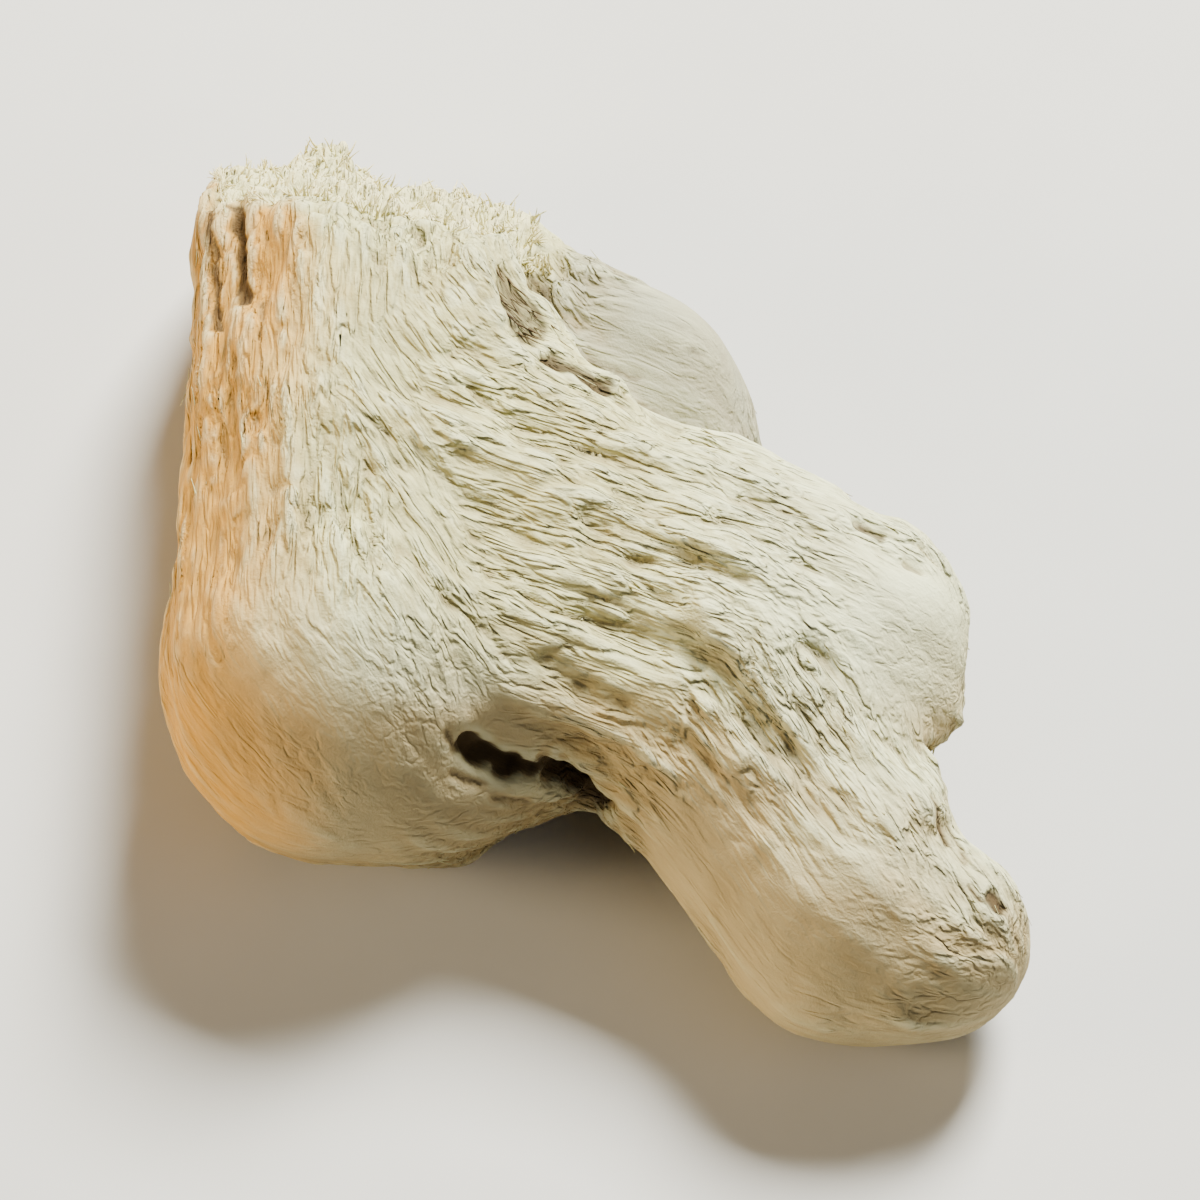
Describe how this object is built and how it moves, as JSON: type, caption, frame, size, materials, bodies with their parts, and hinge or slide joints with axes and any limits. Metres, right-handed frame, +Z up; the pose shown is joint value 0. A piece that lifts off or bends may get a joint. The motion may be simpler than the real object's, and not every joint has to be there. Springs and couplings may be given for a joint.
{
  "type": "dried ginger root",
  "caption": "Forked dried ginger rhizome: a broken trunk with a round bulb, a broad body with a knob, a bent finger and a short back lobe. It lies on worn low spots.",
  "frame": {"origin": "middle of the rhizome's extent in plan, on the surface that it lies on", "axes": "+X along the rhizome's length, from the broken trunk to the finger; +Z up, through its thinnest way"},
  "size_m": [0.0798, 0.0468, 0.0232],
  "materials": {
    "dried_skin": "dry, fibrous and matt, with a chalky bloom on the smooth lobes"
  },
  "bodies": {
    "root": {"rhizome": "dried_skin"}
  },
  "joints": []
}
